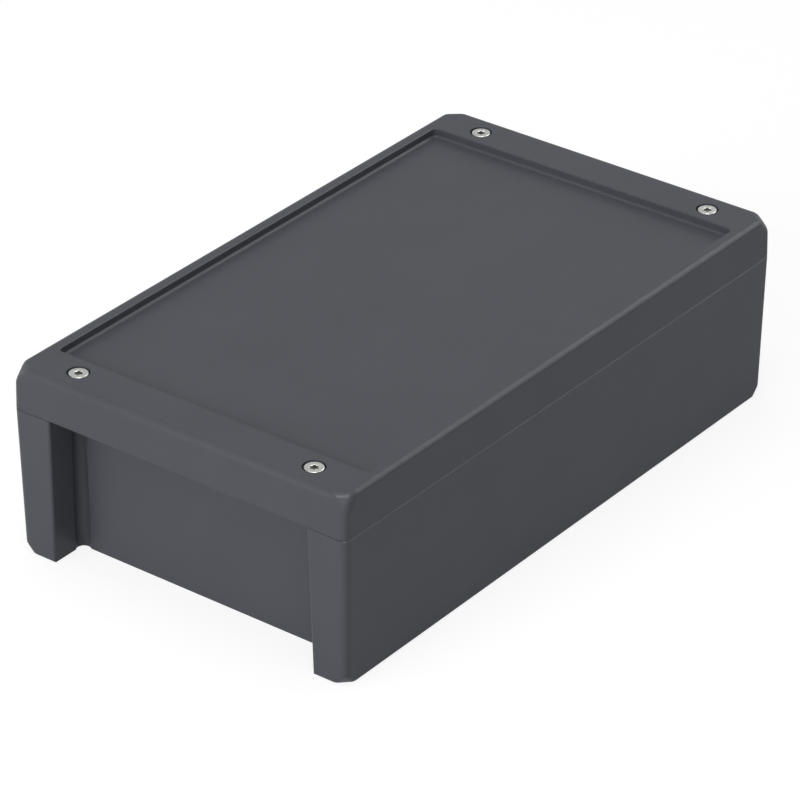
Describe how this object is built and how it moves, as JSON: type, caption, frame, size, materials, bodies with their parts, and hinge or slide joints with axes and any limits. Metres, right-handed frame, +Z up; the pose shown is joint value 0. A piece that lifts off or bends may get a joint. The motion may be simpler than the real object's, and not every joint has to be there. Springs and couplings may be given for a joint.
{
  "type": "aluminium enclosure",
  "caption": "Low rectangular die-cast aluminium enclosure with a screwed, sealed lid, a shallow label field on top and a connector recess between corner posts at each end.",
  "frame": {"origin": "centre of the underside, on the surface that the enclosure stands on", "axes": "+X along the length, towards one recessed end; +Y across the width; +Z up, out of the lid"},
  "size_m": [0.2164, 0.125, 0.064],
  "materials": {
    "coated_base": "fine matt graphite-grey powder coat on die-cast aluminium",
    "coated_lid": "fine matt graphite-grey powder coat on die-cast aluminium",
    "seal": "matt black foamed rubber",
    "screw_steel": "plain stainless steel"
  },
  "bodies": {
    "root": {"base": "coated_base", "lid": "coated_lid", "lid_gasket": "seal", "lid_screw_1": "screw_steel", "lid_screw_2": "screw_steel", "lid_screw_3": "screw_steel", "lid_screw_4": "screw_steel"}
  },
  "joints": []
}
